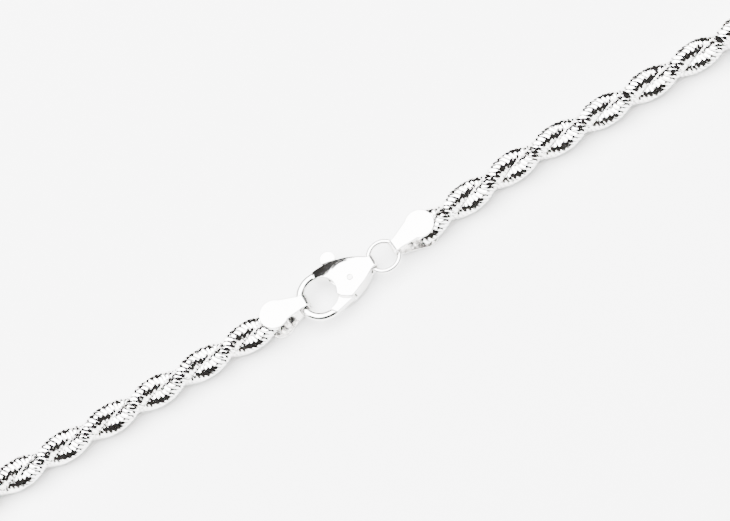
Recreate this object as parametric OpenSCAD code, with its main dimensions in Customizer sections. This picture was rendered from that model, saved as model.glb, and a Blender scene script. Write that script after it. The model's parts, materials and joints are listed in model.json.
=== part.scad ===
// Diamond-cut rope chain necklace, fastened with a lobster clasp and laid flat in a D.
// X runs along the clasp, Z is up and the links rest on z = 0. Millimetres.
// Each link is a closed wire ring that passes through the next one. Every other
// link belongs to strand a, the rest to strand b, and the two strands twist
// round each other left-handed. The links are grouped into the lengths that the
// necklace bends between.

/* [Rope chain] */
// Outer width of the rope
rope_w = 5.0; // [4.6:0.1:6.0]
// Wire diameter of a link
link_wire = 0.60; // [0.50:0.02:0.66]
// Distance from one link to the next along the rope, in radii of a link
lay_pitch = 0.5283; // [0.515:0.0005:0.630]
// How far a link's centre stands off the rope's centre line, in radii of a link
lay_offset = 0.3836; // [0.350:0.001:0.415]
// Lean of a link's plane towards its strand, in degrees
link_lean = 34; // [32:1:36]
// Length in which the strands turn once round each other, in radii of a link
lay_turn = 10.566; // [8.8:0.1:12.6]
// Turn of the first link round the rope, in degrees
twist_start = 40; // [0:5:355]

/* [Lie of the chain] */
// Where the straight front ends, right of the clasp
front_right = 73; // [68:1:90]
// Where the straight front ends, left of the clasp
front_left = 67; // [64:1:90]
// Bend radius of the chain at the two ends of the D
corner_r = 20; // [18:1:30]
// How far the back arc's centre lies in front of the corner centres
back_drop = 15; // [5:1:30]
// Angle at which the right end cap leaves the clasp, in degrees
right_yaw = 4.5; // [0:0.5:8]
// Where the chain on the right starts to turn parallel to the clasp
right_bend = 28; // [26:1:30]
// Bend radius there
right_bend_r = 115; // [90:5:150]

/* [Creases] */
// Where the chain bends nearest the clasp
first_crease = 22; // [20:1:24]
// Where it bends next
second_crease = 30; // [28:1:32]
// Spacing of the bends beyond it
crease_step = 10; // [8:1:10]

/* [End caps] */
// Sheet thickness
cap_sheet = 0.35; // [0.25:0.05:0.45]
// Radius of the round end
cap_r = 2.35; // [2.1:0.05:2.5]
// Distance from the fold to the round end's centre
cap_reach = 4.55; // [4.2:0.05:5.5]
// Width of the neck at the fold
neck_w = 2.1; // [1.8:0.1:2.3]
// Inside radius of the fold
fold_r = 1.0; // [0.95:0.05:1.2]
// Length over which the plates spread from the fold to the rope
cap_slope = 3.2; // [2.6:0.1:3.6]
// Distance from the fold to the start of the rope
rope_start = 4.2; // [3.8:0.1:4.6]
// Gap left between a plate and the links dressed flat under it
solder_gap = 0.03; // [0.02:0.01:0.08]

/* [Jump ring] */
// Wire diameter of the jump ring
ring_wire = 0.8; // [0.7:0.05:0.9]
// Mean radius of the jump ring
ring_r = 2.5; // [2.4:0.05:3.0]
// Clearance between rings, rods and the bores they hang in
hang_gap = 0.06; // [0.04:0.01:0.10]

/* [Clasp body] */
// Overall thickness of the body
body_t = 3.5; // [3.2:0.1:4.2]
// Radius of the body's domed top and bottom
crown_r = 12.5; // [11.5:0.5:16]
// Radius of the top and bottom edges of the body's outline
edge_r = 16.5; // [14:0.5:22]
// Half width of the body at the tail
tail_half = 1.02; // [0.95:0.01:1.10]
// Wall of the tail loop
tail_wall = 0.42; // [0.35:0.01:0.60]
// Play of the jump ring's wire in the tail loop, on the radius
tail_play = 0.25; // [0.22:0.01:0.35]
// Mean radius of the hook
hook_r = 3.5; // [3.4:0.05:4.0]
// Rod diameter of the hook
hook_wire = 1.4; // [1.2:0.05:1.5]
// Depth by which the body stands inside the hook's ring
hook_land = 0.15; // [0.10:0.05:0.25]

/* [Lever] */
// Thickness of the lever
lever_t = 1.2; // [1.0:0.05:1.4]
// Clearance on each side of the lever in its slot
slot_gap = 0.07; // [0.05:0.01:0.12]
// Radius of the lever's boss round the pin
boss_r = 1.35; // [1.2:0.05:1.5]
// Radius of the thumb nub
nub_r = 1.25; // [1.1:0.05:1.35]
// Thickness of the thumb nub
nub_t = 2.0; // [1.8:0.1:2.4]
// Clearance between the gate and the hook's tip
gate_gap = 0.08; // [0.05:0.01:0.12]
// Diameter of the pivot pin
pin_d = 0.8; // [0.6:0.05:1.0]
// Running clearance of the lever on its pin, on the radius
pin_run = 0.04; // [0.02:0.01:0.08]
// Clearance of the riveted pin in the body, on the radius
pin_seat = 0.01; // [0.00:0.01:0.02]

/* [Spring] */
// Coil radius of the lever spring, to the wire's centre
coil_r = 0.42; // [0.36:0.02:0.46]
// Wire diameter of the lever spring
coil_wire = 0.18; // [0.14:0.02:0.20]
// Turns of the lever spring
coil_turns = 6; // [4:1:8]
// Clearance round the spring and at its ends
coil_gap = 0.06; // [0.04:0.01:0.10]

/* [Hidden] */
$fn = 48;
wire_fn = 24;
mid_z = rope_w / 2;
over = 1;

// --- Clasp layout ---------------------------------------------------------
hook_c = [-5.16, -0.4];
pivot = [0.1, -0.84];
tip_r = 5.62;
tail_x = 4.0;
body_left = -4.9;
crown_x = -0.3;
slot_left = -2.98;
slot_right = 2.3;
spring_y = 1.05;
arm_x = -0.26;
pocket_depth = 0.5;
nub_c = [-1.5, 4.15];
shoulder = [-1.05, -3.62];
gate_root = [-2.54, -2.62];
gate_line = [[-6, -4.75], [-0.95, -3.60]];
web_end = [1.2, -1.6];
web_gap = 0.2;
slot_w = lever_t + 2 * slot_gap;
slot_side = let (d = web_end - gate_line[1], n = [d[1], -d[0]] * web_gap / norm(d))
    [gate_line[1] - d / 3 + n, web_end + d * (slot_right - web_end[0] - n[0]) / d[0] + n];

// Centre of the circle of radius r through a and b, on the left going from a to b
function centre_through(a, b, r) =
    let (m = (a + b) / 2, d = b - a, h = norm(d) / 2)
    m + [-d[1], d[0]] / (2 * h) * sqrt(r * r - h * h);

top_c = centre_through([tail_x, tail_half], [-3.2, 3.75], edge_r);
bottom_c = centre_through(shoulder, [tail_x, -tail_half], edge_r);

// How far a ring of radius r bows across a bore of the given width
function bow(r, width) = r - sqrt(r * r - width * width / 4);

// The ring's wire bears on the tail bore's far wall, and the right cap's fold on
// the ring; the left cap's fold bears on the hook's rod.
tail_bore_x = 3.91;
tail_bore = ring_wire / 2 + tail_play;
ring_c = [tail_bore_x + tail_bore - hang_gap + ring_r - ring_wire / 2
          - bow(ring_r - ring_wire / 2, 2 * tail_half) - 0.04, 0];
right_fold = ring_r - ring_wire / 2 - bow(ring_r - ring_wire / 2, neck_w)
             + fold_r - hang_gap;
left_fold_x = hook_c[0] - (hook_r - hook_wire / 2) + bow(hook_r - hook_wire / 2, neck_w - 2 * hook_c[1])
              - fold_r + 2 * hang_gap;

// --- Rope -----------------------------------------------------------------
link_r = (rope_w - link_wire) / 2 / (1 + lay_offset);
link_offset = lay_offset * link_r;
twist_len = lay_turn * link_r;
plate_in = rope_w / 2 - cap_sheet;
cap_end = cap_reach + cap_r;
link_reach = link_r * sin(link_lean) + link_wire;

// The rope's centre line is a list of [length, radius]; radius 0 is straight.
function arc_len(angle, r) = angle * PI / 180 * r;
function advance(pose, len, r) =
    let (h = pose[2], a = r == 0 ? 0 : len / r * 180 / PI)
    r == 0 ? [pose[0] + len * cos(h), pose[1] + len * sin(h), h]
           : [pose[0] + r * (sin(h + a) - sin(h)), pose[1] - r * (cos(h + a) - cos(h)), h + a];

start_x = right_fold + rope_start;
start = [ring_c[0] + start_x * cos(right_yaw), start_x * sin(right_yaw), right_yaw];
lead = (right_bend - start[0]) / cos(right_yaw);
settle = arc_len(right_yaw, right_bend_r);
settled = advance(advance(start, lead, 0), settle, -right_bend_r);
end_x = left_fold_x - rope_start;

right_c = [front_right, settled[1] + corner_r];
left_c = [-front_left, corner_r];
back_c = let (d = right_c - left_c) (right_c + left_c) / 2 + [d[1], -d[0]] / norm(d) * back_drop;
back_r = corner_r + norm(right_c - back_c);
back_from = atan2(right_c[1] - back_c[1], right_c[0] - back_c[0]);
back_to = atan2(left_c[1] - back_c[1], left_c[0] - back_c[0]);
route = [
    [lead, 0],
    [settle, -right_bend_r],
    [front_right - settled[0], 0],
    [arc_len(back_from + 90, corner_r), corner_r],
    [arc_len(back_to - back_from, back_r), back_r],
    [arc_len(270 - back_to, corner_r), corner_r],
    [end_x + front_left, 0],
];
function total(list, n) = n == 0 ? 0 : list[n - 1][0] + total(list, n - 1);
rope_len = total(route, len(route));
link_count = round(rope_len / (lay_pitch * link_r));
pitch = rope_len / link_count;
// How many links at each end reach under a cap's plates
dressed = ceil((cap_end - rope_start + link_reach) / pitch - 0.5);

function along(s, i = 0, pose = start) =
    i == len(route) - 1 || s <= route[i][0]
        ? advance(pose, s, route[i][1])
        : along(s - route[i][0], i + 1, advance(pose, route[i][0], route[i][1]));

// --- Where the chain bends ------------------------------------------------
creases = [for (i = [0:3]) second_crease + i * crease_step];
function on_front_right(x) =
    x < right_bend ? (x - start[0]) / cos(right_yaw)
  : x < settled[0] ? lead + arc_len(right_yaw - asin(sin(right_yaw) - (x - right_bend) / right_bend_r), right_bend_r)
  : lead + settle + x - settled[0];
function on_back(x) =
    total(route, 4) + arc_len(acos((x - back_c[0]) / back_r) - back_from, back_r);
function on_front_left(x) = rope_len - (end_x + x);

// The chain bends sideways at the corners of a parallelogram: two on the front
// at the first crease, and two on the back arc the same way apart.
near_right = along(on_front_right(first_crease));
across = [2 * first_crease, near_right[1]];
far_mid = back_c + [-across[1], across[0]] / norm(across) * sqrt(back_r * back_r - pow(norm(across) / 2, 2));
bends = concat(
    [0, on_front_right(first_crease)],
    [for (x = creases) on_front_right(x)],
    [for (i = [3:-1:0]) on_back(creases[i])],
    [on_back(far_mid[0] + across[0] / 2), on_back(far_mid[0] - across[0] / 2)],
    [for (x = creases) on_back(-x)],
    [for (i = [3:-1:0]) on_front_left(creases[i])],
    [on_front_left(first_crease), rope_len]);
length_count = len(bends) - 1;
strands = ["a", "b"];
function chain_name(i, strand) = str("chain_", i < 9 ? "0" : "", i + 1, "_strand_", strand);

// --- Clasp ----------------------------------------------------------------
module hook_arc(from, to) {
    translate([hook_c[0], hook_c[1], 0]) rotate([0, 0, from])
        rotate_extrude(angle = to - from) translate([hook_r, 0]) circle(d = hook_wire, $fn = wire_fn);
}

module body_outline() {
    difference() {
        intersection() {
            translate(top_c) circle(r = edge_r, $fn = 200);
            translate(bottom_c) circle(r = edge_r, $fn = 200);
            translate([body_left, -6]) square([tail_x - body_left, 12]);
        }
        translate(hook_c) circle(r = hook_r - hook_wire / 2 - hook_land, $fn = 96);
        // the gate leaves the body along this line
        polygon([shoulder, gate_root, [-3.0, -1.95], [-6, -1.95], [-6, -7], [shoulder[0], -7]]);
    }
}

module clasp_body() {
    color("silver") translate([0, 0, mid_z]) difference() {
        union() {
            intersection() {
                translate([0, 0, -body_t]) linear_extrude(2 * body_t) body_outline();
                translate([crown_x, 0, body_t / 2 - crown_r]) sphere(r = crown_r, $fn = 160);
                translate([crown_x, 0, crown_r - body_t / 2]) sphere(r = crown_r, $fn = 160);
            }
            hook_arc(84, 150);
            difference() {
                hook_arc(149, 290);
                translate([pivot[0], pivot[1], -body_t]) cylinder(r = tip_r + gate_gap, h = 2 * body_t, $fn = 96);
            }
            translate([tail_bore_x, 0, 0]) rotate([90, 0, 0])
                cylinder(r = tail_bore + tail_wall, h = 2 * tail_half, center = true);
        }
        linear_extrude(slot_w, center = true)
            polygon([[slot_left, 6], [slot_right, 6], slot_side[1], slot_side[0],
                     [slot_left - over, slot_side[0][1]], [slot_left - over, 0], [slot_left, 0]]);
        translate([tail_bore_x, 0, 0]) rotate([90, 0, 0]) cylinder(r = tail_bore, h = 6, center = true);
        translate([pivot[0], pivot[1], -body_t]) cylinder(d = pin_d + 2 * pin_seat, h = 2 * body_t, $fn = 32);
        translate([slot_right - over, spring_y, 0]) rotate([0, 90, 0])
            cylinder(r = coil_r + coil_wire / 2 + coil_gap, h = pocket_depth + over, $fn = 32);
    }
}

module lever_outline() {
    difference() {
        union() {
            translate(pivot) circle(r = boss_r);
            translate(nub_c) circle(r = nub_r);
            // arm up to the nub
            polygon([[slot_left + gate_gap, 3.2], [slot_left + gate_gap, 1.4], [-1.25, -1.0], [arm_x, 0.3], [arm_x, 4.0], [-1.5, 4.6]]);
            // web and gate, down to the hook's tip
            intersection() {
                polygon(concat(gate_line, [web_end, [-1.2, -0.6], [-3, -1.5], [-6, -1.9]]));
                translate(pivot) circle(r = tip_r, $fn = 96);
            }
        }
        translate(hook_c) circle(r = hook_r - hook_wire / 2 + 0.05, $fn = 96);
        translate(pivot) circle(r = pin_d / 2 + pin_run, $fn = 32);
    }
}

module clasp_lever() {
    color("silver") translate([0, 0, mid_z]) {
        linear_extrude(lever_t, center = true) lever_outline();
        // thumb nub, wider than the slot and clear of the body's edge
        difference() {
            translate([nub_c[0], nub_c[1], -nub_t / 2]) cylinder(r = nub_r, h = nub_t);
            translate([top_c[0], top_c[1], -nub_t]) cylinder(r = edge_r + 2 * slot_gap, h = 2 * nub_t, $fn = 200);
        }
    }
}

module lever_pivot_pin() {
    color("gainsboro") translate([pivot[0], pivot[1], mid_z]) cylinder(d = pin_d, h = body_t - 0.2, center = true, $fn = 32);
}

// Compression coil along X from the lever's arm into the body's pocket
module lever_spring() {
    sides = 6;
    steps = 10;
    n = coil_turns * steps;
    x0 = arm_x + coil_gap + coil_wire / 2;
    x1 = slot_right + pocket_depth - coil_gap - coil_wire / 2;
    rise = (x1 - x0) / n;
    points = [for (i = [0:n]) for (j = [0:sides - 1])
        let (a = 360 * i / steps, b = 360 * j / sides, r = coil_r + coil_wire / 2 * cos(b))
        [x0 + rise * i + coil_wire / 2 * sin(b), spring_y + r * cos(a), mid_z + r * sin(a)]];
    faces = concat(
        [[for (j = [0:sides - 1]) j]],
        [for (i = [0:n - 1]) for (j = [0:sides - 1])
            let (k = (j + 1) % sides) [i * sides + j, (i + 1) * sides + j, (i + 1) * sides + k, i * sides + k]],
        [[for (j = [sides - 1:-1:0]) n * sides + j]]);
    color("gainsboro") polyhedron(points, faces);
}

module jump_ring() {
    color("silver") translate([ring_c[0], ring_c[1], mid_z])
        rotate_extrude() translate([ring_r, 0]) circle(d = ring_wire, $fn = wire_fn);
}

// --- End caps -------------------------------------------------------------
// The fold and all that lies between its two plates, out to a surface that is r
// from the fold's axis and half_gap from the rope's centre line
module fold_block(r, half_gap) {
    rotate([90, 0, 0]) cylinder(r = r, h = 2 * cap_r + over, center = true);
    rotate([90, 0, 0]) linear_extrude(2 * cap_r + over, center = true)
        polygon([[-0.25 * r, 0.9 * r], [cap_slope, half_gap], [cap_end + over, half_gap],
                 [cap_end + over, -half_gap], [cap_slope, -half_gap], [-0.25 * r, -0.9 * r]]);
}

// One strip folded round a rod at the origin; both plates run to +X
module end_cap() {
    fold_out = fold_r + cap_sheet;
    flank = 0.93 * cap_r;
    color("silver") difference() {
        intersection() {
            fold_block(fold_out, plate_in + cap_sheet);
            linear_extrude(rope_w + over, center = true) {
                translate([cap_reach, 0]) circle(r = cap_r);
                polygon([[-fold_out - over, -neck_w / 2], [0, -neck_w / 2], [cap_reach, -flank],
                         [cap_reach, flank], [0, neck_w / 2], [-fold_out - over, neck_w / 2]]);
            }
        }
        fold_block(fold_r, plate_in);
    }
}

module at_right_cap() {
    translate([ring_c[0], ring_c[1], mid_z]) rotate([0, 0, right_yaw]) translate([right_fold, 0, 0]) children();
}

module at_left_cap() {
    translate([left_fold_x, 0, mid_z]) rotate([0, 0, 180]) children();
}

// --- Links ----------------------------------------------------------------
module wire_ring(k) {
    s = (k + 0.5) * pitch;
    pose = along(s);
    translate([pose[0], pose[1], mid_z]) rotate([0, 0, pose[2]])
        rotate([twist_start + 180 * k - 360 * s / twist_len, 0, 0])
            translate([0, link_offset, 0]) rotate([0, link_lean, 0]) rotate([0, 90, 0])
                rotate_extrude() translate([link_r, 0]) circle(d = link_wire, $fn = wire_fn);
}

// The links under a cap are dressed flat to its two plates
module flat_sides() {
    for (side = [0, 1]) mirror([0, 0, side])
        translate([0, -rope_w, plate_in - solder_gap]) cube([cap_end + 2 * link_reach, 2 * rope_w, rope_w]);
}

module link(k) {
    difference() {
        wire_ring(k);
        if (k < dressed) at_right_cap() flat_sides();
        if (k >= link_count - dressed) at_left_cap() flat_sides();
    }
}

module chain_length(i, strand) {
    first = strand == "a" ? 0 : 1;
    color("silver") for (k = [first:2:link_count - 1])
        if ((k + 0.5) * pitch >= bends[i] && (k + 0.5) * pitch < bends[i + 1]) link(k);
}

// The middle of the part's outline goes over the origin
module centred() {
    front_y = hook_c[1] - hook_r - hook_wire / 2;
    back_y = back_c[1] + back_r + rope_w / 2;
    translate([-(front_right - front_left) / 2, -(front_y + back_y) / 2, 0]) children();
}

centred() clasp_body();
centred() clasp_lever();
centred() lever_pivot_pin();
centred() lever_spring();
centred() jump_ring();
centred() at_right_cap() end_cap();  // right_end_cap
centred() at_left_cap() end_cap();  // left_end_cap
for (i = [0:length_count - 1])
    for (strand = strands)
        centred() chain_length(i, strand);
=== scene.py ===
import json
import math

import bmesh
import bpy
import numpy as np
from mathutils import Euler, Matrix, Vector


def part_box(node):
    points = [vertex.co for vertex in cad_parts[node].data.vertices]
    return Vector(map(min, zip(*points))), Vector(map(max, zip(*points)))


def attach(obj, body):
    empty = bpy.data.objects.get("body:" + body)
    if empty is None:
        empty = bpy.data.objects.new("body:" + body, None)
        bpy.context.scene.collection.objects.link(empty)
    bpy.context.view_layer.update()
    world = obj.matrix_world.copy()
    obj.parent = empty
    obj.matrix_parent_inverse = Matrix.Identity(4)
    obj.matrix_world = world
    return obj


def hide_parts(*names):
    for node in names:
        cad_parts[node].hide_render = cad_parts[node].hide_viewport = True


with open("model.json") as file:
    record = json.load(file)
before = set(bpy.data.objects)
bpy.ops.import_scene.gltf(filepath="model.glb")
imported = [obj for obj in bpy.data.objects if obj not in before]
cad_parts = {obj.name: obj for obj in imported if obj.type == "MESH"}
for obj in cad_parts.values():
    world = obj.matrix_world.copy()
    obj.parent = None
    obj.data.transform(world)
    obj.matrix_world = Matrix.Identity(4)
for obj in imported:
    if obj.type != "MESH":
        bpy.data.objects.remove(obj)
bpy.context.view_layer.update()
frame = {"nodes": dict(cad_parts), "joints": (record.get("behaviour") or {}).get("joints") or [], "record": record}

bl_info = {
    "name": "Rope chain necklace",
    "version": (1, 0, 0),
    "blender": (4, 5, 0),
    "location": "View3D > Sidebar > Necklace",
    "description": "Builds a diamond-cut rope chain with its end caps, jump ring and lobster clasp",
    "category": "Object",
}

MM = 0.001
FRAME_WIDTH = 0.114
CAMERA_ELEVATION, CAMERA_ROLL = 65.0, 30.8
LOOK_AT_X, LOOK_AT_Y = 0.00044, -0.04676


# --- Sizes and colours ------------------------------------------------------
class RopeSizes(bpy.types.PropertyGroup):
    """Sizes of the rope's links and of the flats cut on them"""

    wire: bpy.props.FloatProperty(
        name="Wire", description="Wire diameter of a link", default=0.70 * MM, unit="LENGTH", precision=5)
    ring: bpy.props.FloatProperty(
        name="Ring", description="Radius of a link to the middle of its wire", default=1.25 * MM, unit="LENGTH",
        precision=5)
    offset: bpy.props.FloatProperty(
        name="Offset", description="How far a link's centre stands off the rope's centre line", default=0.95 * MM,
        unit="LENGTH", precision=5)
    lean: bpy.props.FloatProperty(
        name="Lean", description="Lean of a link's plane towards its strand", default=math.radians(47), subtype="ANGLE")
    cut: bpy.props.FloatProperty(
        name="Cut", description="Distance from the rope's centre line to a cut flat", default=2.40 * MM, unit="LENGTH",
        precision=5)
    flats: bpy.props.IntProperty(
        name="Flats", description="Number of directions in which the flats are cut", default=12, min=6, max=16)
    seed: bpy.props.IntProperty(name="Seed", description="Seed of the links' small unevenness", default=7)


class NecklaceFinish(bpy.types.PropertyGroup):
    """Colours and polish of the metals"""

    silver: bpy.props.FloatVectorProperty(
        name="Silver", description="Colour of the polished silver", default=(0.87, 0.86, 0.845), size=3,
        subtype="COLOR")
    flat_silver: bpy.props.FloatVectorProperty(
        name="Cut silver", description="Colour of the bright-cut flats", default=(0.93, 0.92, 0.905), size=3,
        subtype="COLOR")
    steel: bpy.props.FloatVectorProperty(
        name="Steel", description="Colour of the pin and the spring", default=(0.62, 0.61, 0.60), size=3,
        subtype="COLOR")
    polish: bpy.props.FloatProperty(
        name="Roughness", description="Roughness of the polished surfaces", default=0.07, min=0.0, max=1.0,
        subtype="FACTOR")


class StageLook(bpy.types.PropertyGroup):
    """The floor and the lights"""

    floor: bpy.props.FloatVectorProperty(
        name="Floor", description="Colour of the floor", default=(0.94, 0.94, 0.94), size=3, subtype="COLOR")
    light: bpy.props.FloatProperty(
        name="Light", description="Strength of the large soft light, in watts", default=41.0, min=0.0)


# --- The rope's route -------------------------------------------------------
# The route and the creases follow the same sizes as the CAD. Each link of the CAD is drawn as
# several rings of wire, so that the wires lie side by side.
MID_Z = 2.5
PITCH = 0.84
TWIST_LEN = 16.8
TWIST_START = 40
WIRES_PER_LINK, LOTS = 3, 12
ROPE_FROM_FOLD = 4.2
RIGHT_FOLD, LEFT_FOLD_X = 2.759, -8.435
FRONT_RIGHT, FRONT_LEFT, CORNER_R, BACK_DROP = 73, 67, 20, 15
RIGHT_YAW, RIGHT_BEND, RIGHT_BEND_R = 4.5, 28, 115
FIRST_CREASE, CREASES = 22, (30, 40, 50, 60)
PLATE_ROOM = 2.08
CREASE_TOLERANCE = 0.15
LINE_STEP, LINE_PAST = 0.2, 3
BAR_STEP, BAR_PAST = 2.0, 2.5
UNEVENNESS = 1.2
LEAST_FACES = 60


def turn(angle, r):
    """Length of an arc of that many degrees."""
    return math.radians(angle) * r


def step(pose, length, r):
    """Where a pose (x, y, heading in degrees) gets to along a line (r = 0) or an arc."""
    x, y, h = pose
    if r == 0:
        return x + length * math.cos(math.radians(h)), y + length * math.sin(math.radians(h)), h
    a = h + math.degrees(length / r)
    return (x + r * (math.sin(math.radians(a)) - math.sin(math.radians(h))),
            y - r * (math.cos(math.radians(a)) - math.cos(math.radians(h))), a)


class Route:
    """The rope's centre line, in millimetres, from the right end cap round to the left one."""

    def __init__(self):
        joints = {j["name"]: j for j in frame["joints"]}
        self.shift = [v / MM for v in joints["clasp_roll"]["pos_m"][:2]]
        ring_x = joints["ring_turn"]["pos_m"][0] / MM - self.shift[0]
        start_x = RIGHT_FOLD + ROPE_FROM_FOLD
        yaw = math.radians(RIGHT_YAW)
        self.start = (ring_x + start_x * math.cos(yaw), start_x * math.sin(yaw), RIGHT_YAW)
        lead = (RIGHT_BEND - self.start[0]) / math.cos(yaw)
        settle = turn(RIGHT_YAW, RIGHT_BEND_R)
        settled = step(step(self.start, lead, 0), settle, -RIGHT_BEND_R)
        end_x = LEFT_FOLD_X - ROPE_FROM_FOLD
        right = Vector((FRONT_RIGHT, settled[1] + CORNER_R))
        left = Vector((-FRONT_LEFT, CORNER_R))
        d = right - left
        back = (right + left) / 2 + Vector((d.y, -d.x)).normalized() * BACK_DROP
        back_r = CORNER_R + (right - back).length
        start_a = math.degrees(math.atan2(right.y - back.y, right.x - back.x))
        end_a = math.degrees(math.atan2(left.y - back.y, left.x - back.x))
        self.legs = [
            (lead, 0), (settle, -RIGHT_BEND_R), (FRONT_RIGHT - settled[0], 0),
            (turn(start_a + 90, CORNER_R), CORNER_R), (turn(end_a - start_a, back_r), back_r),
            (turn(270 - end_a, CORNER_R), CORNER_R), (end_x + FRONT_LEFT, 0)]
        self.length = sum(leg[0] for leg in self.legs)
        self.links = round(self.length / PITCH)
        self.pitch = self.length / self.links
        yaw_at = lambda x: RIGHT_YAW - math.degrees(math.asin(math.sin(yaw) - (x - RIGHT_BEND) / RIGHT_BEND_R))

        def front_right(x):
            if x < RIGHT_BEND:
                return (x - self.start[0]) / math.cos(yaw)
            if x < settled[0]:
                return lead + turn(yaw_at(x), RIGHT_BEND_R)
            return lead + settle + x - settled[0]

        def on_back(x):
            return sum(leg[0] for leg in self.legs[:4]) + turn(
                math.degrees(math.acos((x - back.x) / back_r)) - start_a, back_r)

        def front_left(x):
            return self.length - (end_x + x)

        near = self.at(front_right(FIRST_CREASE))
        across = Vector((2 * FIRST_CREASE, near[1]))
        far = back + Vector((-across.y, across.x)).normalized() * math.sqrt(back_r ** 2 - (across.length / 2) ** 2)
        self.creases = (
            [0, front_right(FIRST_CREASE)] + [front_right(x) for x in CREASES]
            + [on_back(x) for x in reversed(CREASES)]
            + [on_back(far.x + across.x / 2), on_back(far.x - across.x / 2)]
            + [on_back(-x) for x in CREASES] + [front_left(x) for x in reversed(CREASES)]
            + [front_left(FIRST_CREASE), self.length])
        for i, s in enumerate(self.creases[1:-1], 1):
            x, y, _ = self.at(s)
            joint = joints[f"bend_{i:02d}"]["pos_m"]
            if math.hypot(x + self.shift[0] - joint[0] / MM, y + self.shift[1] - joint[1] / MM) > CREASE_TOLERANCE:
                raise RuntimeError(f"the route misses the crease of bend_{i:02d}")

    def at(self, s):
        """The pose at a length along the rope; it runs on straight past both ends."""
        pose = self.start
        for i, (length, r) in enumerate(self.legs):
            if i == len(self.legs) - 1 or s <= length:
                return step(pose, s, r)
            pose = step(pose, length, r)
            s -= length

    def point(self, s):
        """The point in the frame at that length, in metres, and the heading in radians."""
        x, y, h = self.at(s)
        return Vector(((x + self.shift[0]) * MM, (y + self.shift[1]) * MM, MID_Z * MM)), math.radians(h)

    def of_length(self, i):
        """Numbers of the links between creases i and i + 1."""
        return [k for k in range(self.links) if self.creases[i] <= (k + 0.5) * self.pitch < self.creases[i + 1]]


# --- Shaders ----------------------------------------------------------------
class Value:
    """A node's output that can be used in sums."""

    def __init__(self, tree, socket):
        self.tree, self.socket = tree, socket

    def _maths(self, operation, a, b):
        return self.tree.add("ShaderNodeMath", {"operation": operation}, a, b)

    def __add__(self, other):
        return self._maths("ADD", self, other)

    __radd__ = __add__

    def __mul__(self, other):
        return self._maths("MULTIPLY", self, other)

    __rmul__ = __mul__


class Tree:
    """A material's nodes."""

    def __init__(self, name):
        self.material = bpy.data.materials.new(name)
        self.material.use_nodes = True
        self.nodes = self.material.node_tree.nodes
        self.nodes.clear()

    def add(self, kind, settings=None, *values, out=0, **named):
        """A node of that type. Its settings come first, then its sockets in order or by name."""
        node = self.nodes.new(kind)
        for key, value in (settings or {}).items():
            setattr(node, key, value)
        for key, value in list(enumerate(values)) + [(k.replace("_", " "), v) for k, v in named.items()]:
            if isinstance(value, Value):
                self.material.node_tree.links.new(value.socket, node.inputs[key])
            elif value is not None:
                node.inputs[key].default_value = value
        return Value(self, node.outputs[out]) if node.outputs else node

    def noise(self, where, scale, detail=2.0, roughness=0.5):
        return self.add("ShaderNodeTexNoise", None, Vector=where, Scale=scale, Detail=detail, Roughness=roughness)

    def spread(self, value, low, high, to_low, to_high):
        """value from low..high onto to_low..to_high, clamped."""
        return self.add("ShaderNodeMapRange", {"clamp": True}, value, low, high, to_low, to_high)

    def blend(self, share, a, b):
        node = self.nodes.new("ShaderNodeMix")
        node.data_type = "RGBA"
        for socket, value in ((node.inputs[0], share), (node.inputs[6], a), (node.inputs[7], b)):
            if isinstance(value, Value):
                self.material.node_tree.links.new(value.socket, socket)
            else:
                socket.default_value = value if isinstance(value, float) else (*value, 1.0)
        return Value(self, node.outputs[2])

    def finish(self, color, roughness, normal=None):
        shader = self.nodes.new("ShaderNodeBsdfPrincipled")
        shader.inputs["Metallic"].default_value = 1.0
        for name, value in (("Base Color", color), ("Roughness", roughness), ("Normal", normal)):
            if isinstance(value, Value):
                self.material.node_tree.links.new(value.socket, shader.inputs[name])
            elif value is not None:
                shader.inputs[name].default_value = (*value, 1.0) if name == "Base Color" else value
        end = self.nodes.new("ShaderNodeOutputMaterial")
        self.material.node_tree.links.new(shader.outputs[0], end.inputs["Surface"])
        return self.material


def darker(color, share):
    return tuple(c * share for c in color)


def cast_silver(name, color, rough, ripple, scratch=0.5):
    """Polished metal with a faint ripple from the buffing wheel, hairline scratches and handling marks."""
    t = Tree(name)
    where = t.add("ShaderNodeTexCoord", out=3)
    smudge = t.spread(t.noise(where, 260.0, 3.0, 0.55), 0.42, 0.62, 0.0, 1.0)
    long_way = t.add("ShaderNodeMapping", None, Vector=where, Scale=(260.0, 2600.0, 2600.0), Rotation=(0.3, 0.5, 0.7))
    hair = t.spread(t.noise(long_way, 1.0, 2.0, 0.6), 0.60, 0.70, 0.0, scratch)
    roughness = smudge * 0.05 + hair * 0.10 + rough
    tone = t.blend(smudge * 0.35, color, darker(color, 0.94))
    wave = t.noise(where, 900.0, 1.5, 0.45)
    normal = t.add("ShaderNodeBump", None, Strength=ripple, Distance=0.00002, Height=wave + hair * 0.25)
    return t.finish(tone, roughness, normal)


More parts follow.
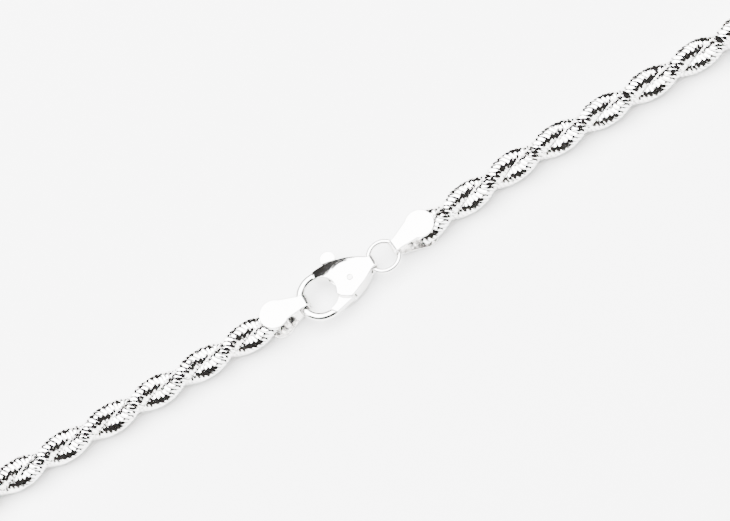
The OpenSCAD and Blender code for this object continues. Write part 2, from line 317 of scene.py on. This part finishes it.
def wire_silver(name, color, rough):
    """Drawn wire with painted shade: darker and duller towards the rope's core and round the sides of each wire, where
    it meets the wires beside it.
    """
    t = Tree(name)
    where = t.add("ShaderNodeTexCoord", out=3)
    core = t.add("ShaderNodeAttribute", {"attribute_name": "depth"}, out=2)
    beside = t.add("ShaderNodeAttribute", {"attribute_name": "side"}, out=2)
    # painted shade: darkening towards the rope's core and round each wire's sides, between neighbouring wires
    shade_towards_core = t.spread(core, 0.60, 0.95, 1.0, 0.0)
    shade_between_wires = t.spread(beside, 0.20, 0.80, 0.0, 0.95)
    painted_shade = t.add("ShaderNodeMath", {"operation": "MAXIMUM"}, shade_towards_core, shade_between_wires)
    patch = t.spread(t.noise(where, 420.0, 3.0, 0.6), 0.35, 0.65, 0.0, 1.0)
    share = t.add("ShaderNodeMath", {"operation": "MULTIPLY", "use_clamp": True}, painted_shade, patch * 0.35 + 0.65)
    # the near-black colour is painted shade, blended in by the masks above
    tone = t.blend(share, darker(color, 0.9), (0.055, 0.045, 0.04))
    roughness = share * 0.25 + patch * 0.05 + (rough + 0.05)
    normal = t.add("ShaderNodeBump", None, Strength=0.25, Distance=0.00002, Height=t.noise(where, 1500.0, 2.0, 0.5))
    return t.finish(tone, roughness, normal)


def cut_silver(name, color, rough):
    """The bright-cut flats: mirror-like, with the faint lines that the cutter leaves across them."""
    t = Tree(name)
    where = t.add("ShaderNodeTexCoord", out=3)
    lines = t.add("ShaderNodeMapping", None, Vector=where, Scale=(5200.0, 380.0, 380.0))
    cutter = t.noise(lines, 1.0, 1.0, 0.4)
    patch = t.spread(t.noise(where, 500.0, 2.0, 0.5), 0.35, 0.65, 0.0, 1.0)
    tone = t.blend(patch * 0.3, color, darker(color, 0.95))
    normal = t.add("ShaderNodeBump", None, Strength=0.10, Distance=0.00002, Height=cutter)
    return t.finish(tone, patch * 0.03 + rough, normal)


def drawn_steel(name, color):
    """Turned or drawn steel with lines along the work."""
    t = Tree(name)
    where = t.add("ShaderNodeTexCoord", out=3)
    along = t.add("ShaderNodeMapping", None, Vector=where, Scale=(700.0, 5000.0, 5000.0))
    lines = t.noise(along, 1.0, 3.0, 0.6)
    tone = t.blend(lines, color, darker(color, 0.8))
    normal = t.add("ShaderNodeBump", None, Strength=0.3, Distance=0.00002, Height=lines)
    return t.finish(tone, lines * 0.15 + 0.18, normal)


# --- Meshes -----------------------------------------------------------------
def new_piece(name, mesh, body, nodes=()):
    """The mesh as a finished piece of that body, standing for those CAD nodes."""
    piece = bpy.data.objects.new(name, mesh)
    bpy.context.scene.collection.objects.link(piece)
    if nodes:
        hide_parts(*nodes)
    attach(piece, body)
    return piece


def body_of_node(node):
    for body, members in frame["record"]["behaviour"]["bodies"].items():
        if node in members:
            return body
    raise RuntimeError(f"no body holds {node}")


def merged_copy(node):
    """A copy of a CAD node's mesh with its loose triangles joined, as a new object."""
    mesh = frame["nodes"][node].data.copy()
    shape = bmesh.new()
    shape.from_mesh(mesh)
    bmesh.ops.remove_doubles(shape, verts=shape.verts, dist=1e-7)
    bmesh.ops.dissolve_degenerate(shape, edges=shape.edges, dist=1e-8)
    shape.to_mesh(mesh)
    shape.free()
    mesh.materials.clear()
    piece = bpy.data.objects.new(node + "_work", mesh)
    bpy.context.scene.collection.objects.link(piece)
    return piece


def applied(piece, name):
    """The evaluated mesh of an object, which is then removed."""
    bpy.context.view_layer.update()
    evaluated = piece.evaluated_get(bpy.context.evaluated_depsgraph_get())
    mesh = bpy.data.meshes.new_from_object(evaluated)
    mesh.name = name
    bpy.data.objects.remove(piece)
    return mesh


def softened(node, name, material, voxel, passes):
    """A CAD node's shape with its edges rounded as casting and buffing leave them."""
    work = merged_copy(node)
    remesh = work.modifiers.new("Remesh", "REMESH")
    remesh.mode = "VOXEL"
    remesh.voxel_size = voxel
    remesh.adaptivity = 0.0
    smooth = work.modifiers.new("Smooth", "CORRECTIVE_SMOOTH")
    smooth.factor = 0.5
    smooth.iterations = passes
    smooth.use_only_smooth = True
    mesh = applied(work, name)
    mesh.materials.clear()
    mesh.materials.append(material)
    mesh.shade_smooth()
    return mesh


# --- Geometry Nodes ---------------------------------------------------------
def rope_tree():
    """Links set out on points and turned, then cut to a flat-sided rope along the path in the same mesh."""
    tree = bpy.data.node_groups.new("rope_links", "GeometryNodeTree")
    face = tree.interface
    face.new_socket("Geometry", in_out="INPUT", socket_type="NodeSocketGeometry")
    for name, kind in (("Ring Radius", "Float"), ("Wire Radius", "Float"), ("Cut Distance", "Float"),
                       ("Flats", "Int"), ("Unevenness", "Float"), ("Seed", "Int"), ("Wire Material", "Material"),
                       ("Cut Material", "Material")):
        face.new_socket(name, in_out="INPUT", socket_type="NodeSocket" + kind)
    face.new_socket("Geometry", in_out="OUTPUT", socket_type="NodeSocketGeometry")
    start, end = tree.nodes.new("NodeGroupInput"), tree.nodes.new("NodeGroupOutput")

    def add(kind, settings=None, **sockets):
        node = tree.nodes.new(kind)
        for key, value in (settings or {}).items():
            setattr(node, key, value)
        for key, value in sockets.items():
            key = key.replace("_", " ")
            if isinstance(value, bpy.types.NodeSocket):
                tree.links.new(value, node.inputs[key])
            else:
                node.inputs[key].default_value = value
        return node

    def maths(operation, a, b=0.0):
        node = tree.nodes.new("ShaderNodeMath")
        node.operation = operation
        for socket, value in zip(node.inputs, (a, b)):
            if isinstance(value, bpy.types.NodeSocket):
                tree.links.new(value, socket)
            else:
                socket.default_value = value
        return node.outputs[0]

    given = start.outputs
    loop = add("GeometryNodeCurvePrimitiveCircle", Resolution=18, Radius=given["Ring Radius"])
    profile = add("GeometryNodeCurvePrimitiveCircle", Resolution=6, Radius=given["Wire Radius"])
    ring = add("GeometryNodeCurveToMesh", Curve=loop.outputs["Curve"], Profile_Curve=profile.outputs["Curve"])
    smooth = add("GeometryNodeSetShadeSmooth", Geometry=ring.outputs["Mesh"], Shade_Smooth=True)
    part = add("GeometryNodeInputNamedAttribute", {"data_type": "INT"}, Name="part").outputs["Attribute"]
    on_path = tree.nodes.new("FunctionNodeCompare")
    on_path.data_type, on_path.operation = "INT", "LESS_THAN"
    tree.links.new(part, on_path.inputs[2])
    on_path.inputs[3].default_value = 0
    path = add("GeometryNodeSeparateGeometry", {"domain": "POINT"}, Geometry=given["Geometry"],
               Selection=on_path.outputs[0])
    curve = add("GeometryNodeSetCurveNormal", {"mode": "Z_UP"},
                Curve=add("GeometryNodeMeshToCurve", Mesh=path.outputs["Selection"]).outputs["Curve"])
    half = maths("DIVIDE", math.pi, given["Flats"])
    corner = maths("DIVIDE", given["Cut Distance"], maths("COSINE", half))
    section = add("GeometryNodeCurvePrimitiveCircle", Resolution=given["Flats"], Radius=corner)
    turned = add("GeometryNodeTransform", Geometry=section.outputs["Curve"],
                 Rotation=add("ShaderNodeCombineXYZ", Z=half).outputs[0])
    bar = add("GeometryNodeCurveToMesh", Curve=curve.outputs["Curve"], Profile_Curve=turned.outputs["Geometry"],
              Fill_Caps=True)
    bar = add("GeometryNodeSetShadeSmooth", Geometry=bar.outputs["Mesh"], Shade_Smooth=False)
    bar = add("GeometryNodeSetMaterial", Geometry=bar.outputs["Geometry"], Material=given["Cut Material"])
    turns = add("GeometryNodeInputNamedAttribute", {"data_type": "FLOAT_VECTOR"}, Name="turn").outputs["Attribute"]
    less = maths("MULTIPLY", given["Unevenness"], -1.0)
    uneven = add("FunctionNodeRandomValue", {"data_type": "FLOAT_VECTOR"}, Seed=given["Seed"])
    for socket, limit in zip(uneven.inputs, (less, given["Unevenness"])):
        tree.links.new(add("ShaderNodeCombineXYZ", X=limit, Y=limit, Z=limit).outputs[0], socket)
    total = tree.nodes.new("ShaderNodeVectorMath")
    tree.links.new(turns, total.inputs[0])
    tree.links.new(uneven.outputs[0], total.inputs[1])
    rotation = add("FunctionNodeEulerToRotation", Euler=total.outputs[0])
    join = tree.nodes.new("GeometryNodeJoinGeometry")
    # Neighbouring links touch, so they are cut in lots that don't.
    for lot in range(LOTS):
        pick = tree.nodes.new("FunctionNodeCompare")
        pick.data_type, pick.operation = "INT", "EQUAL"
        tree.links.new(part, pick.inputs[2])
        pick.inputs[3].default_value = lot
        points = add("GeometryNodeSeparateGeometry", {"domain": "POINT"}, Geometry=given["Geometry"],
                     Selection=pick.outputs[0])
        set_out = add("GeometryNodeInstanceOnPoints", Points=points.outputs["Selection"],
                      Instance=smooth.outputs["Geometry"], Rotation=rotation.outputs[0])
        solid = add("GeometryNodeRealizeInstances", Geometry=set_out.outputs["Instances"])
        wire = add("GeometryNodeSetMaterial", Geometry=solid.outputs["Geometry"], Material=given["Wire Material"])
        cut = tree.nodes.new("GeometryNodeMeshBoolean")
        cut.operation, cut.solver = "INTERSECT", "MANIFOLD"
        tree.links.new(wire.outputs["Geometry"], cut.inputs["Mesh 2"])
        tree.links.new(bar.outputs["Geometry"], cut.inputs["Mesh 2"])
        tree.links.new(cut.outputs["Mesh"], join.inputs[0])
    real = add("GeometryNodeRealizeInstances", Geometry=join.outputs["Geometry"])
    flat = add("GeometryNodeMaterialSelection", Material=given["Cut Material"])
    done = add("GeometryNodeSetMaterial", Geometry=real.outputs["Geometry"], Selection=flat.outputs["Selection"],
               Material=given["Cut Material"])
    tree.links.new(done.outputs["Geometry"], end.inputs[0])
    return tree


def set_inputs(modifier, tree, **values):
    """A modifier's inputs by their names, set on their identifiers."""
    known = {item.name: item.identifier for item in tree.interface.items_tree if item.in_out == "INPUT"}
    for name, value in values.items():
        modifier[known[name.replace("_", " ")]] = value


# --- Pieces -----------------------------------------------------------------
def chain_bodies():
    """Bodies in order along the rope, each with its two CAD nodes."""
    found = []
    while f"chain_{len(found) + 1:02d}_strand_a" in frame["nodes"]:
        nodes = [f"chain_{len(found) + 1:02d}_strand_{strand}" for strand in "ab"]
        found.append((body_of_node(nodes[0]), nodes))
    return found


def wires(route, numbers, sizes):
    """The centre, turn and number of each ring of wire in those links. The third axis of its turn is the ring's own."""
    for wire in range(numbers[0] * WIRES_PER_LINK, (numbers[-1] + 1) * WIRES_PER_LINK):
        s = (wire + 0.5) * route.pitch / WIRES_PER_LINK
        middle, heading = route.point(s)
        roll = math.radians(TWIST_START + 180 * wire - 360 * s / TWIST_LEN)
        place = Matrix.Rotation(heading, 3, "Z") @ Matrix.Rotation(roll, 3, "X")
        yield (middle + place @ Vector((0, sizes.offset, 0)),
               place @ Matrix.Rotation(sizes.lean + math.pi / 2, 3, "Y"), wire)


def link_points(route, numbers, sizes):
    """A mesh with a point for each link, which carries its turn, and the rope's centre line past both ends."""
    mesh = bpy.data.meshes.new("rope_points")
    points, turns, parts = [], [], []
    for centre, place, wire in wires(route, numbers, sizes):
        points.append(centre)
        turns.append(place.to_euler())
        parts.append(wire % LOTS)
    first = len(points)
    low, high = (numbers[0] + 0.5) * route.pitch - BAR_PAST, (numbers[-1] + 0.5) * route.pitch + BAR_PAST
    steps = max(4, round((high - low) / BAR_STEP))
    for i in range(steps + 1):
        points.append(route.point(low + (high - low) * i / steps)[0])
        turns.append((0, 0, 0))
        parts.append(-1)
    mesh.from_pydata(points, [(first + i, first + i + 1) for i in range(steps)], [])
    flat_turns = [angle for angles in turns for angle in angles]
    mesh.attributes.new("turn", "FLOAT_VECTOR", "POINT").data.foreach_set("vector", flat_turns)
    mesh.attributes.new("part", "INT", "POINT").data.foreach_set("value", parts)
    return mesh


def mark_depth(mesh, route, numbers, sizes):
    """Gives each vertex its distance from the rope's centre line, as a share of the rope's half width, and how far
    round the side of its wire it lies, towards the wires beside it."""
    at = np.empty(3 * len(mesh.vertices))
    mesh.vertices.foreach_get("co", at)
    at = at.reshape(-1, 3)
    low, high = numbers[0] * route.pitch - LINE_PAST, (numbers[-1] + 1) * route.pitch + LINE_PAST
    line = np.array([route.point(low + LINE_STEP * i)[0] for i in range(math.ceil((high - low) / LINE_STEP) + 1)])
    depth = np.sqrt(((at[:, None, :] - line[None]) ** 2).sum(2).min(1)) / (MID_Z * MM)
    nearest, side = np.full(len(at), 1e9), np.zeros(len(at))
    for centre, place, _ in wires(route, numbers, sizes):
        away = at - np.array(centre)
        up = away @ np.array(place.col[2])
        flat = np.sqrt(np.maximum((away ** 2).sum(1) - up ** 2, 0.0))
        gap = np.hypot(flat - sizes.ring, up)
        closer = gap < nearest
        nearest[closer], side[closer] = gap[closer], np.abs(up[closer]) / (sizes.wire / 2)
    # The wire material paints shade from these two values: darker towards the rope's core and round the sides of each
    # wire.
    mesh.attributes.new("depth", "FLOAT", "POINT").data.foreach_set("value", depth)
    mesh.attributes.new("side", "FLOAT", "POINT").data.foreach_set("value", side)


def dress_under_plates(mesh, cap):
    """Presses the rope flat where it lies between a cap's two plates."""
    low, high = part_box(cap)
    reach = 0.3 * MM
    for v in mesh.vertices:
        if low.x - reach <= v.co.x <= high.x + reach:
            v.co.z = min(max(v.co.z, (MID_Z - PLATE_ROOM) * MM), (MID_Z + PLATE_ROOM) * MM)


class NECKLACE_OT_rope(bpy.types.Operator):
    """Sets out the links, cuts the flats on them and makes one mesh for each length of rope"""

    bl_idname = "necklace.rope"
    bl_label = "Rope chain"

    def execute(self, context):
        sizes, finish = context.scene.necklace_rope, context.scene.necklace_finish
        wire = wire_silver("wire_silver", finish.silver, finish.polish)
        cut = cut_silver("bright_cut_silver", finish.flat_silver, 0.4 * finish.polish)
        route, tree, lengths = Route(), rope_tree(), chain_bodies()
        for i, (body, nodes) in enumerate(lengths):
            numbers = route.of_length(i)
            work = bpy.data.objects.new("rope_work", link_points(route, numbers, sizes))
            context.scene.collection.objects.link(work)
            modifier = work.modifiers.new("Links", "NODES")
            modifier.node_group = tree
            set_inputs(modifier, tree, Ring_Radius=sizes.ring, Wire_Radius=sizes.wire / 2, Cut_Distance=sizes.cut,
                       Flats=sizes.flats, Unevenness=math.radians(UNEVENNESS), Seed=sizes.seed + i, Wire_Material=wire,
                       Cut_Material=cut)
            mesh = applied(work, f"rope_length_{i + 1:02d}")
            if len(mesh.polygons) < LEAST_FACES * len(numbers):
                raise RuntimeError(f"rope length {i + 1} came out with {len(mesh.polygons)} faces")
            flat = [k for k, m in enumerate(mesh.materials) if m and m.name == cut.name]
            for face in mesh.polygons:
                face.use_smooth = face.material_index not in flat
            mark_depth(mesh, route, numbers, sizes)
            if i == 0:
                dress_under_plates(mesh, "right_end_cap")
            if i == len(lengths) - 1:
                dress_under_plates(mesh, "left_end_cap")
            new_piece(mesh.name, mesh, body, nodes)
        return {"FINISHED"}


class NECKLACE_OT_castings(bpy.types.Operator):
    """Makes the clasp's body and its lever, with the soft edges of polished castings"""

    bl_idname = "necklace.castings"
    bl_label = "Clasp castings"

    def execute(self, context):
        finish = context.scene.necklace_finish
        cast = cast_silver("cast_silver", finish.silver, finish.polish, 0.22)
        for node, voxel, passes in (("clasp_body", 0.075 * MM, 6), ("clasp_lever", 0.06 * MM, 4)):
            new_piece(node + "_cast", softened(node, node + "_cast", cast, voxel, passes), body_of_node(node),
                      [node])
        return {"FINISHED"}


class NECKLACE_OT_end_caps(bpy.types.Operator):
    """Makes the two folded end caps, with the edges of a stamped and tumbled sheet"""

    bl_idname = "necklace.end_caps"
    bl_label = "End caps"

    def execute(self, context):
        finish = context.scene.necklace_finish
        sheet = cast_silver("sheet_silver", finish.silver, 1.3 * finish.polish, 0.30, 0.7)
        for node in ("right_end_cap", "left_end_cap"):
            new_piece(node + "_sheet", softened(node, node + "_sheet", sheet, 0.06 * MM, 3), body_of_node(node),
                      [node])
        return {"FINISHED"}


class NECKLACE_OT_jump_ring(bpy.types.Operator):
    """Makes the jump ring, with the soldered joint where its wire was closed"""

    bl_idname = "necklace.jump_ring"
    bl_label = "Jump ring"

    def execute(self, context):
        finish = context.scene.necklace_finish
        low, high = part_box("jump_ring")
        centre, thick = (low + high) / 2, (high.z - low.z) / 2
        radius = (high.x - low.x) / 2 - thick
        around, across = 144, 20
        shape = bmesh.new()
        rings = []
        for i in range(around):
            a = 2 * math.pi * i / around
            # a shallow groove where the ends meet
            away = abs(math.remainder(a - math.radians(248), 2 * math.pi))
            r = thick * (0.997 - 0.10 * math.exp(-(away / 0.035) ** 2))
            rings.append([shape.verts.new(centre + Vector((
                (radius + r * math.cos(b)) * math.cos(a), (radius + r * math.cos(b)) * math.sin(a), r * math.sin(b))))
                for b in (2 * math.pi * j / across for j in range(across))])
        for i in range(around):
            for j in range(across):
                after, beside = (i + 1) % around, (j + 1) % across
                shape.faces.new((rings[i][j], rings[after][j], rings[after][beside], rings[i][beside]))
        bmesh.ops.recalc_face_normals(shape, faces=shape.faces)
        mesh = bpy.data.meshes.new("jump_ring_wire")
        shape.to_mesh(mesh)
        shape.free()
        mesh.materials.append(cast_silver("ring_silver", finish.silver, finish.polish, 0.18))
        mesh.shade_smooth()
        new_piece("jump_ring_wire", mesh, "jump_ring", ["jump_ring"])
        return {"FINISHED"}


class NECKLACE_OT_pin_and_spring(bpy.types.Operator):
    """Gives the pivot pin and the lever's spring their steel"""

    bl_idname = "necklace.pin_and_spring"
    bl_label = "Pin and spring"

    def execute(self, context):
        finish = context.scene.necklace_finish
        for node, share in (("lever_pivot_pin", 1.0), ("lever_spring", 0.85)):
            piece = frame["nodes"][node]
            piece.data.materials.clear()
            piece.data.materials.append(drawn_steel(node + "_steel", darker(finish.steel, share)))
        return {"FINISHED"}


class NECKLACE_OT_stage(bpy.types.Operator):
    """Sets up the pale floor, the soft studio light and the camera"""

    bl_idname = "necklace.stage"
    bl_label = "Stage"

    def execute(self, context):
        scene, look = context.scene, context.scene.necklace_stage
        half = 0.9
        floor = bpy.data.meshes.new("floor")
        floor.from_pydata([(-half, -half, 0), (half, -half, 0), (half, half, 0), (-half, half, 0)], [], [(0, 1, 2, 3)])
        paper = Tree("paper")
        shader = paper.nodes.new("ShaderNodeBsdfPrincipled")
        shader.inputs["Base Color"].default_value = (*look.floor, 1.0)
        shader.inputs["Roughness"].default_value = 0.9
        shader.inputs["Specular IOR Level"].default_value = 0.1
        out = paper.nodes.new("ShaderNodeOutputMaterial")
        paper.material.node_tree.links.new(shader.outputs[0], out.inputs["Surface"])
        floor.materials.append(paper.material)
        ground = bpy.data.objects.new("floor", floor)
        scene.collection.objects.link(ground)
        target = Vector((0.0, LOOK_AT_Y, MID_Z * MM))
        for name, place, size, share in (
                ("sky", (0.0, 0.09, 0.55), (0.95, 0.78), 1.0),
                ("left", (-0.62, 0.10, 0.30), (0.30, 0.50), 0.16),
                ("right", (0.62, 0.16, 0.34), (0.24, 0.50), 0.13)):
            light = bpy.data.lights.new(name, "AREA")
            light.shape = "RECTANGLE"
            light.size, light.size_y = size
            light.energy = look.light * share
            lamp = bpy.data.objects.new(name, light)
            lamp.location = target + Vector(place)
            lamp.rotation_euler = (target - lamp.location).to_track_quat("-Z", "Y").to_euler()
            scene.collection.objects.link(lamp)
        world = bpy.data.worlds.new("room")
        world.use_nodes = True
        world.node_tree.nodes["Background"].inputs["Color"].default_value = (0.10, 0.094, 0.09, 1.0)
        world.node_tree.nodes["Background"].inputs["Strength"].default_value = 0.5
        scene.world = world
        lens = bpy.data.cameras.new("camera")
        lens.sensor_width, lens.lens = 36.0, 150.0
        lens.clip_start, lens.clip_end = 0.01, 10.0
        away = FRAME_WIDTH * lens.lens / lens.sensor_width
        camera = bpy.data.objects.new("camera", lens)
        up = math.radians(CAMERA_ELEVATION)
        spot = Vector((LOOK_AT_X, LOOK_AT_Y, MID_Z * MM))
        camera.location = spot + away * Vector((0.0, -math.cos(up), math.sin(up)))
        camera.rotation_euler = (Euler((math.pi / 2 - up, 0.0, 0.0)).to_matrix()
                                 @ Matrix.Rotation(-math.radians(CAMERA_ROLL), 3, "Z")).to_euler()
        scene.collection.objects.link(camera)
        scene.camera = camera
        return {"FINISHED"}


class NECKLACE_PT_panel(bpy.types.Panel):
    """Lists the necklace's steps, sizes and colours"""

    bl_idname = "NECKLACE_PT_panel"
    bl_label = "Necklace"
    bl_space_type = "VIEW_3D"
    bl_region_type = "UI"
    bl_category = "Necklace"

    def draw(self, context):
        for group in (context.scene.necklace_rope, context.scene.necklace_finish, context.scene.necklace_stage):
            for name in group.__annotations__:
                self.layout.prop(group, name)
        for step_class in STEPS:
            self.layout.operator(step_class.bl_idname)


STEPS = (NECKLACE_OT_rope, NECKLACE_OT_castings, NECKLACE_OT_end_caps, NECKLACE_OT_jump_ring,
         NECKLACE_OT_pin_and_spring, NECKLACE_OT_stage)
GROUPS = (RopeSizes, NecklaceFinish, StageLook)


def register():
    for item in GROUPS + STEPS + (NECKLACE_PT_panel,):
        bpy.utils.register_class(item)
    bpy.types.Scene.necklace_rope = bpy.props.PointerProperty(type=RopeSizes)
    bpy.types.Scene.necklace_finish = bpy.props.PointerProperty(type=NecklaceFinish)
    bpy.types.Scene.necklace_stage = bpy.props.PointerProperty(type=StageLook)


def unregister():
    del bpy.types.Scene.necklace_stage
    del bpy.types.Scene.necklace_finish
    del bpy.types.Scene.necklace_rope
    for item in reversed(GROUPS + STEPS + (NECKLACE_PT_panel,)):
        bpy.utils.unregister_class(item)


def main():
    register()
    bpy.ops.necklace.rope()
    bpy.ops.necklace.castings()
    bpy.ops.necklace.end_caps()
    bpy.ops.necklace.jump_ring()
    bpy.ops.necklace.pin_and_spring()
    bpy.ops.necklace.stage()


if __name__ == "__main__":
    main()
